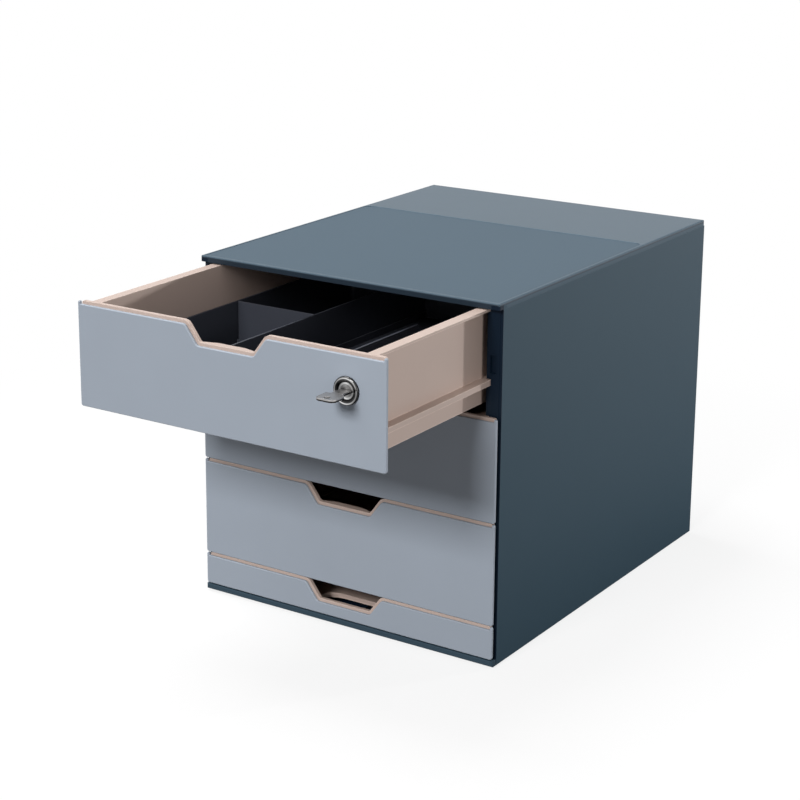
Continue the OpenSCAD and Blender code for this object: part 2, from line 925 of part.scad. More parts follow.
// Plug with its keyway in front and a square tenon for the cam behind
module lock_plug() {
    past = 1;
    body_l = shoulder_y - plug_front_y;
    slot_half = [blade_w / 2 + key_gap, key_t / 2 + key_gap];
    color(steel_colour)
        opened()
            difference() {
                union() {
                    turned(plug_front_y)
                        polygon([
                            [0, 0], [plug_d / 2 - plug_bevel, 0], [plug_d / 2, plug_bevel],
                            [plug_d / 2, plug_head_l], [plug_body_d / 2, plug_head_l],
                            [plug_body_d / 2, body_l], [0, body_l]
                        ]);
                    block(
                        [lock_x - tenon_w / 2, shoulder_y - eps, lock_z - tenon_w / 2],
                        [lock_x + tenon_w / 2, cam_rear_y, lock_z + tenon_w / 2]
                    );
                }
                block(
                    [lock_x - slot_half.x, plug_front_y - eps, lock_z - slot_half.y],
                    [lock_x + slot_half.x, plug_front_y + blade_l + key_gap, lock_z + slot_half.y]
                );
                at_lock(cam_rear_y - screw_l - 2 * push_gap)
                    rotate([-90, 0, 0])
                        cylinder(d = screw_d + 2 * push_gap, h = screw_l + past);
            }
}

// Flat cam that points up when the lock is open
module lock_cam() {
    half = cam_w / 2;
    tip_r = half / 2;
    hub_r = half - push_gap;
    color(steel_colour)
        opened()
            along_y(shoulder_y, cam_rear_y)
                translate([lock_x, lock_z])
                    difference() {
                        polygon(plate([-half, -half], [half, cam_reach], [hub_r, hub_r, tip_r, tip_r]));
                        square((tenon_w + 2 * push_gap) * [1, 1], center = true);
                    }
}

module cam_screw() {
    past = 1;
    head_r = screw_head_d / 2;
    color(steel_colour)
        opened()
            difference() {
                turned(cam_rear_y - screw_l)
                    polygon([
                        [0, 0], [screw_d / 2, 0], [screw_d / 2, screw_l], [head_r, screw_l],
                        [head_r, screw_l + screw_head_t], [0, screw_l + screw_head_t]
                    ]);
                block(
                    [lock_x - head_r - past, cam_rear_y + screw_head_t / 2, lock_z - screw_slot_w / 2],
                    [lock_x + head_r + past, cam_rear_y + screw_head_t + past, lock_z + screw_slot_w / 2]
                );
            }
}

// Flat key with a holed bow, its blade in the plug
module lock_key() {
    stem_end = plug_front_y - key_gap;
    blade_end = plug_front_y + blade_l;
    neck_y = plug_front_y - stem_l;
    bow_y = neck_y - bow_l;
    color(steel_colour)
        opened()
            along_z(lock_z - key_t / 2, lock_z + key_t / 2)
                translate([lock_x, 0])
                    difference() {
                        polygon(rounded(
                            [
                                [-bow_w / 2, bow_y], [bow_w / 2, bow_y], [bow_w / 2, neck_y],
                                [stem_w / 2, neck_y], [stem_w / 2, stem_end], [blade_w / 2, stem_end],
                                [blade_w / 2, blade_end], [-blade_w / 2, blade_end],
                                [-blade_w / 2, stem_end], [-stem_w / 2, stem_end],
                                [-stem_w / 2, neck_y], [-bow_w / 2, neck_y]
                            ],
                            [
                                bow_end_r, bow_end_r, bow_neck_r, stem_r, 0, 0,
                                blade_tip_r, blade_tip_r, 0, 0, stem_r, bow_neck_r
                            ]
                        ));
                        translate([0, bow_y + key_hole_d])
                            circle(d = key_hole_d);
                    }
}

top_panel();
base_panel();
left_side_panel();
right_side_panel();
back_panel();
foot(-1, -1);  // front_left_foot
foot(1, -1);  // front_right_foot
foot(-1, 1);  // rear_left_foot
foot(1, 1);  // rear_right_foot
opened() tray(1);  // drawer_1_tray
opened() front_panel(1);  // drawer_1_front
tray(2);  // drawer_2_tray
front_panel(2);  // drawer_2_front
tray(3);  // drawer_3_tray
front_panel(3);  // drawer_3_front
tray(4);  // drawer_4_tray
front_panel(4);  // drawer_4_front
organiser_tray();
left_divider();
right_divider();
cross_divider();
lock_barrel();
lock_nut();
lock_plug();
lock_cam();
cam_screw();
lock_key();
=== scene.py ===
"""Looks of a desktop drawer box: slate casing, blue-grey drawer fronts on beige trays, a keyed lock."""

import json
import math

import bpy
import numpy as np
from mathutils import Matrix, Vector


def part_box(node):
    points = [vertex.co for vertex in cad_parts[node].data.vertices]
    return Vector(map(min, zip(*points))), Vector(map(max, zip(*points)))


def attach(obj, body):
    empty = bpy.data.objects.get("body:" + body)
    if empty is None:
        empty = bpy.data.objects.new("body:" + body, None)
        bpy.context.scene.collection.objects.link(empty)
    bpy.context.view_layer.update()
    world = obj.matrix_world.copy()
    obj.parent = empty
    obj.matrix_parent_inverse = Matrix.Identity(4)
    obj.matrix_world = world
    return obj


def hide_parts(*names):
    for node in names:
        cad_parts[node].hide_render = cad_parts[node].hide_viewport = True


MM = 0.001

# Camera, found from the casing's and the open drawer's corners in the photograph
IMAGE_SIDE = 800
FOCAL_PIXELS = 2006.1
IMAGE_CENTRE = (340, 320)
CAMERA_AZIMUTH = 34.58
CAMERA_ELEVATION = 15.10
CAMERA_PLACE = (853.06 * MM, -1419.37 * MM, 665.1 * MM)
SENSOR = 36.0

# Top: where its matt field ends behind, how deep the field is and how far its step is painted paler, a
# painted highlight, the height of the painted shadow line under the top's edge, and how softly that line
# and the faces with painted shade begin
FIELD_LENGTH = 240 * MM
FIELD_DEPTH = 0.4 * MM
STEP_HIGHLIGHT_REACH = 0.6 * MM
EDGE_LINE = 2.2 * MM
EDGE_LINE_FADE = 0.4 * MM
FACE_FADE = 0.3 * MM

# Sides and base: half the width inside the outer walls and how softly these begin, where their front edges
# end, the back of the base's front lip and the height that the base's underside stays below; shade is
# painted on the sides' stiles, rails and front edges and on the base's upper side
INNER_HALF = 137.6 * MM
WALL_FADE = 0.1 * MM
WALL_FRONT = -171.8 * MM
LIP_BACK = -172.5 * MM
UNDERSIDE = 2 * MM

# Front panels
PANEL_THICK = 2.4 * MM
PANEL_EDGE = 0.8 * MM
PANEL_BACK_EDGE = 0.3 * MM
PANEL_CORNER = 2.0 * MM
RIM_HEIGHT = 2.4 * MM
EAR_WIDTH = 2.3 * MM
EAR_OUTER_CORNER = 1.2 * MM
EAR_INNER_CORNER = 0.9 * MM
EAR_FOOT = 0.4 * MM
NOTCH_TOP_HALF = 36.75 * MM
NOTCH_BOTTOM_HALF = 25.5 * MM
NOTCH_DEPTH = 15 * MM
NOTCH_CORNER = 4.5 * MM
PEG_RADIUS = 2.5 * MM
PEG_SIDES = 24
PEG_PLACES = (0.36, 0.6)
TALL_PEG_HEIGHTS = (0.2, 0.7)
FLAT_PEG_HEIGHTS = (0.35,)
DRAWERS = (1, 2, 3, 4)
LOCK_DRAWER = 1
FLAT_DRAWER = 4
LOCK_BORE = 9.1 * MM
BORE_SIDES = 48

# Lock: grey of its metal at distances from the axis in mm, painted reflections in rings with painted shade
# in the grooves and dish, the span of these distances, how many painted highlight streaks run round it and
# where they begin, and the painted shade between them and in them
RING_SPAN = 12 * MM
LOCK_RINGS = (
    (0.0, 0.5), (4.6, 0.3), (5.2, 0.75), (6.0, 0.65), (6.4, 0.02), (7.6, 0.03), (8.6, 0.1), (9.0, 0.8),
    (9.4, 0.7), (9.9, 0.08),
)
STREAKS = 2.0
STREAK_TURN = -2.4
STREAK_SHADE = (0.3, 1.0)

# Key: how far below its middle height its edges have painted shade, and how far above they are bright
KEY_DARK = 0.1 * MM
KEY_BRIGHT = 0.3 * MM

# Grain: features to the metre on each material, how metal's is stretched along the depth, and the range
# that most of a noise lies in
SLATE_GRAIN = 1500.0
SATIN_GRAIN = 1100.0
RUBBER_GRAIN = 900.0
METAL_GRAIN = 2600.0
METAL_STRETCH = (1.0, 0.05, 1.0)
NOISE_RANGE = (0.3, 0.7)

# Wear: how wide rubbed edges are, how wide the trays' paler edges are, which are rubbed and also a painted
# highlight on their rims, and how far the slate is rubbed paler on the casing and on the top
WEAR_REACH = 0.8 * MM
TRAY_WEAR_AND_HIGHLIGHT_REACH = 1.6 * MM
CASING_WEAR = 0.4
TOP_WEAR = 0.12

# Softened edges of the moulded pieces
CASING_EDGE = 0.35 * MM
TRAY_EDGE = 0.6 * MM
THIN_EDGE = 0.3 * MM
METAL_EDGE = 0.15 * MM
EDGE_SEGMENTS = 2
MERGE_DISTANCE = 0.005 * MM
SHARP_ANGLE = math.radians(32)

# Floor: half its side, its colour to light and to sight, how far its glow takes to grow and from which
# share to which, where gloss sees a painted shadow on it beside the right wall, and where that begins and
# ends to fade
FLOOR_HALF = 6.0
FLOOR_TO_LIGHT = (0.12, 0.12, 0.12, 1)
FLOOR_TO_SIGHT = (0.95, 0.95, 0.95, 1)
GLOW_REACH = (0.25, 0.75)
GLOW_SHARE = (0.82, 1.0)
GLOSS_SHADOW_FROM = 0.14
GLOSS_SHADOW_FADE = (0.18, 0.44)

# Light: the even sky's strength, and each lamp's name, place, the point that it faces, width, height, watts
SKY_STRENGTH = 0.12
BOX_MIDDLE = (0, -0.1, 0.15)
DRAWER_WALL = (0.13, -0.15, 0.3)
LAMPS = (
    ("upper_lamp", (-1.6, -0.2, 4.1), BOX_MIDDLE, 2.0, 2.0, 137),
    ("front_lamp", (0.05, -5.32, 3.22), BOX_MIDDLE, 1.75, 1.5, 255),
    ("right_fill", (3.1, -0.8, 0.7), BOX_MIDDLE, 1.3, 1.3, 22),
    ("side_lamp", (1.34, 1.6, 0.5), DRAWER_WALL, 0.08, 0.08, 18.5),
)

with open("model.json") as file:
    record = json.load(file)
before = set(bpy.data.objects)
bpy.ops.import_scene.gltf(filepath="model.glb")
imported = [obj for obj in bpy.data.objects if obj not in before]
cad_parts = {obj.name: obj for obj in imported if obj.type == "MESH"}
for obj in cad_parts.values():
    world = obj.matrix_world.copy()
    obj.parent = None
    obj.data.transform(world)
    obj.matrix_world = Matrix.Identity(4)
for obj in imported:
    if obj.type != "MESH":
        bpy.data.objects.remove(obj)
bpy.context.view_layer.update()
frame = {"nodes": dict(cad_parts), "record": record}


# Materials


def srgb(red, green, blue):
    """A colour given as 0 to 255 display values, as linear values with alpha."""
    shown = np.array([red, green, blue]) / 255
    linear = np.where(shown <= 0.04045, shown / 12.92, ((shown + 0.055) / 1.055) ** 2.4)
    return (*linear, 1.0)


SLATE = srgb(58, 80, 96)
# The base's and the sides' slate are darker copies of the one casing slate, painted shade set against how
# they are lit
SLATE_BASE = srgb(52, 71, 84)
SLATE_SIDE = srgb(52, 73, 86)
SLATE_TOP = srgb(61, 81, 95)
# Paler slate: wear on rubbed edges, and a painted highlight at the top's step
SLATE_WEAR_AND_HIGHLIGHT = srgb(112, 132, 146)
# Near-black navy: painted shade on the casing's stiles, rails, side front edges and the base's upper side
SLATE_PAINTED_SHADE = srgb(4, 22, 38)
# Painted shade: the top's ends, the shadow line under its edge, and its lip's front
SLATE_END_SHADE = srgb(36, 63, 79)
SLATE_EDGE_SHADOW = srgb(4, 34, 52)
SLATE_LIP_SHADE = srgb(8, 28, 42)
BLUE_GREY = srgb(165, 174, 186)
BLUE_GREY_PALE = srgb(184, 192, 202)
BEIGE = srgb(197, 176, 165)
# Paler beige: wear on the trays' edges, and a painted highlight on their rims
BEIGE_WEAR_AND_HIGHLIGHT = srgb(238, 218, 206)
BLACK = srgb(60, 63, 72)
BLACK_PALE = srgb(104, 107, 116)
ZINC = srgb(166, 168, 171)
NICKEL = srgb(172, 170, 169)
# Painted shade on the lower half of the key's edges
NICKEL_PAINTED_SHADE = srgb(52, 50, 50)
RUBBER = srgb(29, 30, 32)


class Finish:
    """A material with one Principled shader, and short ways to add the nodes that feed it."""

    def __init__(self, name, **sockets):
        self.material = bpy.data.materials.new(name)
        self.material.use_nodes = True
        self.tree = self.material.node_tree
        self.shader = self.tree.nodes["Principled BSDF"]
        for socket, value in sockets.items():
            self.shader.inputs[socket.replace("_", " ")].default_value = value
        self.place = self.add("ShaderNodeTexCoord").outputs["Object"]

    def add(self, kind, inputs=None, **settings):
        """A node with its settings; each input is a value or another node's output."""
        node = self.tree.nodes.new(kind)
        for name, value in settings.items():
            setattr(node, name, value)
        for socket, value in (inputs or {}).items():
            if isinstance(value, bpy.types.NodeSocket):
                self.tree.links.new(value, node.inputs[socket])
            else:
                node.inputs[socket].default_value = value
        return node

    def feed(self, socket, output):
        self.tree.links.new(output, self.shader.inputs[socket])

    def noise(self, scale, detail=3.0, place=None):
        """Cloud noise between 0 and 1 at so many features to the metre."""
        inputs = {"Vector": place or self.place, "Scale": scale, "Detail": detail}
        return self.add("ShaderNodeTexNoise", inputs).outputs["Fac"]

    def ramp(self, value, low, high, to_low, to_high):
        """Value carried from the range low to high into the range to_low to to_high."""
        inputs = {"Value": value, "From Min": low, "From Max": high, "To Min": to_low, "To Max": to_high}
        return self.add("ShaderNodeMapRange", inputs).outputs["Result"]

    def mix(self, share, first, second):
        """Colour between first and second."""
        inputs = {0: share, 6: first, 7: second}
        return self.add("ShaderNodeMix", inputs, data_type="RGBA").outputs[2]

    def math(self, operation, first, second):
        return self.add("ShaderNodeMath", {0: first, 1: second}, operation=operation).outputs[0]

    def absolute(self, value):
        return self.add("ShaderNodeMath", {0: value}, operation="ABSOLUTE").outputs[0]

    def bump(self, height, strength, distance):
        inputs = {"Height": height, "Strength": strength, "Distance": distance}
        self.feed("Normal", self.add("ShaderNodeBump", inputs).outputs["Normal"])

    def grain(self, scale, detail, smooth, dull, strength, distance, place=None):
        """One fine noise that sets the roughness, from smooth to dull, and the bump."""
        height = self.noise(scale, detail, place)
        self.feed("Roughness", self.ramp(height, *NOISE_RANGE, smooth, dull))
        self.bump(height, strength, distance)

    def part(self, axis):
        """One coordinate of the place on the object."""
        return self.add("ShaderNodeSeparateXYZ", {"Vector": self.place}).outputs[axis]

    def worn_and_highlight_edges(self, reach):
        """Wear, and on the trays also a painted highlight, between 0 and 1, in patches along the edges.

        It grows where the normal averaged over the reach turns away from the surface's own normal.
        """
        averaged = self.add("ShaderNodeBevel", {"Radius": reach}, samples=4).outputs["Normal"]
        own = self.add("ShaderNodeNewGeometry").outputs["Normal"]
        inputs = {0: averaged, 1: own}
        agree = self.add("ShaderNodeVectorMath", inputs, operation="DOT_PRODUCT").outputs["Value"]
        patches = self.ramp(self.noise(90.0, 4.0), 0.3, 0.6, 0.4, 1.0)
        return self.math("MULTIPLY", self.ramp(agree, 0.98, 0.8, 0, 1), patches)


def drift(finish, colour, share):
    """Colour that drifts slowly over a moulding, darker and lighter by the share."""
    red, green, blue, _ = colour
    dark = (red * (1 - share), green * (1 - share), blue * (1 - share), 1.0)
    light = (red * (1 + share), green * (1 + share), blue * (1 + share), 1.0)
    return finish.mix(finish.noise(22.0, 2.0), dark, light)


def worn_and_highlight_colour(finish, colour, pale, share, reach):
    """Colour that drifts slowly and is rubbed paler along the edges, up to a share; on the trays the paler
    edges are also a painted highlight.
    """
    rubbed = finish.math("MULTIPLY", finish.worn_and_highlight_edges(reach), share)
    return finish.mix(rubbed, drift(finish, colour, 0.03), pale)


def outer_wall(finish):
    """1 on the outer wall of a side, 0 where shade is painted: on its front edge and on the stiles and rails
    inside it.
    """
    outside = finish.ramp(finish.absolute(finish.part("X")), INNER_HALF - WALL_FADE, INNER_HALF, 0, 1)
    return finish.math("MULTIPLY", outside, finish.math("GREATER_THAN", finish.part("Y"), WALL_FRONT))


def outer_base(finish):
    """1 on the front lip and the underside of the base, 0 on its upper side, where shade is painted."""
    front = finish.math("LESS_THAN", finish.part("Y"), LIP_BACK)
    under = finish.math("LESS_THAN", finish.part("Z"), UNDERSIDE)
    return finish.math("MAXIMUM", front, under)


def slate_plastic(name, colour, specular, outer=None):
    """Slate moulding with a fine spark-eroded grain, rubbed at the edges, and near-black navy painted shade
    where it isn't outer.
    """
    finish = Finish(name, Specular_IOR_Level=specular)
    shade = worn_and_highlight_colour(finish, colour, SLATE_WEAR_AND_HIGHLIGHT, CASING_WEAR, WEAR_REACH)
    if outer:
        # Painted shade wherever the outer mask is 0
        shade = finish.mix(outer(finish), SLATE_PAINTED_SHADE, shade)
    finish.feed("Base Color", shade)
    finish.grain(SLATE_GRAIN, 4.0, 0.52, 0.64, 0.2, 0.2 * MM)
    return finish.material


def slate_top(name, colour, specular):
    """Slate top: a coarse dull field, sunk into a smoother margin that is painted paler at the step behind
    it, a painted highlight.

    Its ends have painted shade as dark as the side walls below them, with a painted shadow line under the
    rounded edge, and the front of its lip has painted shade darker still.
    """
    low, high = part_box("top_panel")
    finish = Finish(name, Specular_IOR_Level=specular)
    step = finish.absolute(finish.math("SUBTRACT", finish.part("Y"), low.y + FIELD_LENGTH))
    worn = worn_and_highlight_colour(finish, colour, SLATE_WEAR_AND_HIGHLIGHT, TOP_WEAR, WEAR_REACH)
    # Painted highlight at the step behind the field
    face = finish.mix(finish.ramp(step, STEP_HIGHLIGHT_REACH, 0, 0, 0.5), worn, SLATE_WEAR_AND_HIGHLIGHT)
    # Painted shade: ends as dark as the side walls, a shadow line under the edge and a darker lip front
    line = high.z - EDGE_LINE
    under = finish.ramp(finish.part("Z"), line - EDGE_LINE_FADE, line, 0, 1)
    end = finish.mix(under, SLATE_END_SHADE, SLATE_EDGE_SHADOW)
    aside = finish.ramp(finish.absolute(finish.part("X")), high.x - FACE_FADE, high.x, 0, 1)
    ahead = finish.ramp(finish.part("Y"), low.y, low.y + FACE_FADE, 1, 0)
    finish.feed("Base Color", finish.mix(ahead, finish.mix(aside, face, end), SLATE_LIP_SHADE))
    grain = finish.noise(SLATE_GRAIN, 4.0)
    sunk = finish.math("LESS_THAN", finish.part("Z"), high.z - FIELD_DEPTH / 2)
    finish.feed("Roughness", finish.ramp(sunk, 0, 1, 0.42, 0.62))
    finish.bump(finish.math("MULTIPLY", grain, finish.ramp(sunk, 0, 1, 0.35, 1.0)), 0.35, 0.2 * MM)
    return finish.material


def satin_plastic(name, colour, pale, share, rough, specular, reach=WEAR_REACH, grain=0.12):
    """Smooth satin moulding, rubbed paler at the edges, which on the trays is also a painted highlight, with
    a fine grain and a roughness that follows it.
    """
    finish = Finish(name, Specular_IOR_Level=specular)
    finish.feed("Base Color", worn_and_highlight_colour(finish, colour, pale, share, reach))
    finish.grain(SATIN_GRAIN, 3.0, rough - 0.05, rough + 0.05, grain, 0.15 * MM)
    return finish.material


def metal_lines(finish, smooth, dull):
    """Fine lines along the depth on plated metal, from noise stretched along Y."""
    inputs = {"Vector": finish.place, "Scale": METAL_STRETCH}
    lines = finish.add("ShaderNodeMapping", inputs).outputs[0]
    finish.grain(METAL_GRAIN, 2.0, smooth, dull, 0.08, 0.05 * MM, lines)


def zinc_steel(name):
    """Zinc-plated steel with fine lines along the depth."""
    finish = Finish(name, Metallic=1.0)
    finish.feed("Base Color", drift(finish, ZINC, 0.04))
    metal_lines(finish, 0.28, 0.38)
    return finish.material


def nickel_key(name):
    """Nickel key: fine lines along its length, and painted shade on its edges' lower half."""
    low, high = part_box("lock_key")
    middle = (low.z + high.z) / 2
    finish = Finish(name, Metallic=1.0)
    # Painted shade on the lower half of the key's edges
    upper = finish.ramp(finish.part("Z"), middle - KEY_DARK, middle + KEY_BRIGHT, 0, 1)
    finish.feed("Base Color", finish.mix(upper, NICKEL_PAINTED_SHADE, drift(finish, NICKEL, 0.05)))
    metal_lines(finish, 0.28, 0.42)
    return finish.material


def turned_chrome(name):
    """Chrome turned about the lock's axis: painted reflections in rings of light and dark by radius, with
    painted shade in the dark rings, and two painted highlight streaks round them.
    """
    low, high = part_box("lock_barrel")
    axis = (low + high) / 2
    finish = Finish(name, Metallic=1.0)
    inputs = {0: finish.place, 1: (1.0, 0.0, 1.0), 2: (-axis.x, 0.0, -axis.z)}
    flat = finish.add("ShaderNodeVectorMath", inputs, operation="MULTIPLY_ADD").outputs["Vector"]
    radius = finish.add("ShaderNodeVectorMath", {0: flat}, operation="LENGTH").outputs["Value"]
    # Painted reflections and painted shade: rings of grey by radius
    rings = finish.add("ShaderNodeValToRGB", {"Fac": finish.ramp(radius, 0, RING_SPAN, 0, 1)})
    stops = rings.color_ramp.elements
    while len(stops) < len(LOCK_RINGS):
        stops.new(1.0)
    for stop, (reach, grey) in zip(stops, LOCK_RINGS):
        stop.position = reach * MM / RING_SPAN
        stop.color = (grey, grey, grey, 1.0)
    split = finish.add("ShaderNodeSeparateXYZ", {"Vector": flat}).outputs
    # Painted highlight: two streaks by angle round the axis
    inputs = {0: finish.math("ARCTAN2", split["Z"], split["X"]), 1: STREAKS, 2: STREAK_TURN}
    turn = finish.add("ShaderNodeMath", inputs, operation="MULTIPLY_ADD").outputs[0]
    wave = finish.add("ShaderNodeMath", {0: turn}, operation="COSINE").outputs[0]
    inputs = {0: rings.outputs["Color"], "Scale": finish.ramp(wave, -1, 1, *STREAK_SHADE)}
    finish.feed("Base Color", finish.add("ShaderNodeVectorMath", inputs, operation="SCALE").outputs["Vector"])
    finish.grain(METAL_GRAIN, 2.0, 0.12, 0.22, 0.06, 0.05 * MM)
    return finish.material


def foot_rubber(name):
    """Dark rubber with a coarse dull grain."""
    finish = Finish(name, Specular_IOR_Level=0.3)
    finish.feed("Base Color", drift(finish, RUBBER, 0.1))
    finish.grain(RUBBER_GRAIN, 4.0, 0.75, 0.9, 0.3, 0.2 * MM)
    return finish.material


FINISHES = {
    "casing": slate_plastic("slate_plastic", SLATE, specular=0.2),
    # The base and the sides take the darker slate copies, painted shade
    "base": slate_plastic("slate_base", SLATE_BASE, specular=0.2, outer=outer_base),
    "side": slate_plastic("slate_side", SLATE_SIDE, specular=0.15, outer=outer_wall),
    "top": slate_top("slate_top", SLATE_TOP, specular=0.35),
    "front": satin_plastic(
        "blue_grey_plastic", BLUE_GREY, BLUE_GREY_PALE, share=0.3, rough=0.5, specular=0.25,
    ),
    # Its paler edges are wear and also a painted highlight on the rims
    "tray": satin_plastic(
        "beige_plastic", BEIGE, BEIGE_WEAR_AND_HIGHLIGHT, share=0.9, rough=0.42, specular=0.45, reach=TRAY_WEAR_AND_HIGHLIGHT_REACH,
    ),
    "organiser": satin_plastic(
        "black_plastic", BLACK, BLACK_PALE, share=0.5, rough=0.45, specular=0.4, grain=0.25,
    ),
    "lock": turned_chrome("turned_chrome"),
    "key": nickel_key("nickel_key"),
    "steel": zinc_steel("zinc_steel"),
    "rubber": foot_rubber("foot_rubber"),
}
FINISH_OF_NODE = {
    "top_panel": "top",
    "base_panel": "base",
    "left_side_panel": "side",
    "right_side_panel": "side",
    "lock_key": "key",
}


# Surfaces


def rounded_outline(corners, radii, steps=6):
    """Anticlockwise outline with an arc at each corner, as points and their outward normals.

    The arc's centre lies on the corner's bisector, radius / sin(half angle) from the corner. The normal
    turns evenly from that of the edge before to that of the edge after, and a point is the centre plus
    the radius along the normal, or minus it where the corner is hollow.
    """
    corners, radii = np.asarray(corners, float), np.asarray(radii, float)[:, None]
    before = np.roll(corners, 1, axis=0) - corners
    after = np.roll(corners, -1, axis=0) - corners
    before /= np.linalg.norm(before, axis=1, keepdims=True)
    after /= np.linalg.norm(after, axis=1, keepdims=True)
    half = np.arccos((before * after).sum(axis=1, keepdims=True)) / 2
    bisector = (before + after) / np.linalg.norm(before + after, axis=1, keepdims=True)
    centre = corners + bisector * radii / np.sin(half)
    first = np.arctan2(before[:, 0], -before[:, 1])
    crossed = before[:, 1] * after[:, 0] - before[:, 0] * after[:, 1]
    turn = np.arctan2(crossed, -(before * after).sum(axis=1))
    angle = first[:, None] + turn[:, None] * np.linspace(0, 1, steps + 1)
    normals = np.stack([np.cos(angle), np.sin(angle)], axis=-1)
    points = centre[:, None] + (np.sign(turn)[:, None] * radii)[..., None] * normals
    return points.reshape(-1, 2), normals.reshape(-1, 2)


def round_outline(middle, radius, count, start=0.0):
    """Anticlockwise circle about a middle, from a start angle, as points and their outward normals."""
    angle = start + np.linspace(0, 2 * np.pi, count, endpoint=False)
    normals = np.stack([np.cos(angle), np.sin(angle)], axis=-1)
    return np.asarray(middle) + radius * normals, normals


def carried(outline, profile):
    """Rings of an outline carried along a profile of inset and height.

    Each ring is the outline moved inwards along its normals by the inset, at the profile's height, so the
    surface is the outline's and the profile's parameters on a grid. Heights are along -Y, towards the
    front, and the outline lies in X and Z.
    """
    points, normals = outline
    inset, height = np.asarray(profile, float).T
    flat = points[None] - normals[None] * inset[:, None, None]
    depth = np.broadcast_to(-height[:, None], flat.shape[:2])
    return np.stack([flat[..., 0], depth, flat[..., 1]], axis=-1)


def ring_quads(rings, count, first=0):
    """Faces between neighbouring rings of so many points each, all pointing outwards."""
    lower, along = np.meshgrid(np.arange(rings - 1), np.arange(count), indexing="ij")
    after = (along + 1) % count
    below, above = lower * count, (lower + 1) * count
    corners = [below + along, below + after, above + after, above + along]
    return first + np.stack(corners, axis=-1).reshape(-1, 4)


def quarter_round(radius, steps=6):
    """Insets and falls of an edge rounded by a quarter circle, from the side up to the face."""
    angle = np.linspace(0, np.pi / 2, steps + 1)
    return np.stack([radius * (1 - np.cos(angle)), radius * (np.sin(angle) - 1)], axis=-1)


def new_piece(name, vertices, faces, body, slot):
    """Smooth-shaded piece that rides on a body and takes a slot's finish."""
    mesh = bpy.data.meshes.new(name)
    mesh.from_pydata(vertices, [], faces)
    mesh.polygons.foreach_set("use_smooth", np.ones(len(faces), bool))
    mesh.materials.append(FINISHES[slot])
    mesh.update()
    piece = bpy.data.objects.new(name, mesh)
    bpy.context.scene.collection.objects.link(piece)
    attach(piece, body)
    piece.modifiers.new("shading", "WEIGHTED_NORMAL").keep_sharp = True
    return piece


def panel_outline(half, low, high):
    """Outline of a front panel: a grip notch in the upper edge, and an ear at each end as high as the rim."""
    edge = high - RIM_HEIGHT
    bottom = edge - NOTCH_DEPTH
    ear = half - EAR_WIDTH
    right = [
        (half, low), (half, high), (ear, high), (ear, edge),
        (NOTCH_TOP_HALF, edge), (NOTCH_BOTTOM_HALF, bottom),
    ]
    left = [(-x, z) for x, z in reversed(right)]
    radii = [PANEL_CORNER, EAR_OUTER_CORNER, EAR_INNER_CORNER, EAR_FOOT, NOTCH_CORNER, NOTCH_CORNER]
    return rounded_outline(right + left, radii + radii[::-1])


def split_cap(outline, first, bore, bore_first):
    """Two faces between an outline and a bore inside it, split where a lower and an upper point face it.

    The lower point is the one furthest right and down, the upper one where the notch begins; the bore's
    first point faces the lower one, and the one nearest to the upper point closes the other side.
    """
    lower = int(np.argmax(outline[:, 0] - outline[:, 1]))
    upper = int(np.argmin(np.linalg.norm(outline - (NOTCH_TOP_HALF, outline[:, 1].max()), axis=1)))
    facing = int(np.argmin(np.linalg.norm(bore - outline[upper], axis=1)))
    count, around = len(outline), len(bore)
    right = [first + i for i in range(lower, upper + 1)]
    left = [first + i % count for i in range(upper, lower + count + 1)]
    over = [bore_first + i for i in range(facing, -1, -1)]
    under = [bore_first + i % around for i in range(around, facing - 1, -1)]
    return [right + over, left + under]


def front_panel(number):
    """Front panel with all its outer edges rounded, its pegs, and in the top drawer the lock's bore."""
    node = f"drawer_{number}_front"
    low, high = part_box(node)
    front, back, peg_end = -low.y, -low.y - PANEL_THICK, -high.y
    outline = panel_outline(high.x, low.z, high.z)
    count = len(outline[0])
    profile = [(PANEL_BACK_EDGE, back), (0.0, back + PANEL_BACK_EDGE)]
    profile += [(inset, front + fall) for inset, fall in quarter_round(PANEL_EDGE)]
    rings = carried(outline, profile)
    vertices = [rings.reshape(-1, 3)]
    faces = ring_quads(len(profile), count).tolist()
    last = (len(profile) - 1) * count
    used = len(profile) * count
    if number == LOCK_DRAWER:
        barrel_low, barrel_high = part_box("lock_barrel")
        middle = ((barrel_low.x + barrel_high.x) / 2, (barrel_low.z + barrel_high.z) / 2)
        start = math.atan2(low.z - middle[1], high.x - middle[0])
        bore = round_outline(middle, LOCK_BORE, BORE_SIDES, start)
        vertices.append(carried(bore, [(0, back), (0, front)]).reshape(-1, 3))
        faces += ring_quads(2, BORE_SIDES, used)[:, ::-1].tolist()
        faces += split_cap(rings[-1][:, [0, 2]], last, bore[0], used + BORE_SIDES)
        faces += [face[::-1] for face in split_cap(rings[0][:, [0, 2]], 0, bore[0], used)]
        used += 2 * BORE_SIDES
    else:
        faces += [list(range(last, last + count)), list(range(count))[::-1]]
    heights = FLAT_PEG_HEIGHTS if number == FLAT_DRAWER else TALL_PEG_HEIGHTS
    peg_profile = [(PANEL_BACK_EDGE, peg_end), (0, peg_end + PANEL_BACK_EDGE), (0, back)]
    peg_rings = len(peg_profile)
    for side in (-1, 1):
        for place in PEG_PLACES:
            for part in heights:
                middle = (side * place * high.x, low.z + part * (high.z - RIM_HEIGHT - low.z))
                peg = carried(round_outline(middle, PEG_RADIUS, PEG_SIDES), peg_profile)
                vertices.append(peg.reshape(-1, 3))
                faces += ring_quads(peg_rings, PEG_SIDES, used).tolist()
                faces.append(list(range(used, used + PEG_SIDES))[::-1])
                used += peg_rings * PEG_SIDES
                faces.append(list(range(used - PEG_SIDES, used)))
    piece = new_piece(f"drawer_{number}_panel", np.concatenate(vertices), faces, f"drawer_{number}", "front")
    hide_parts(node)


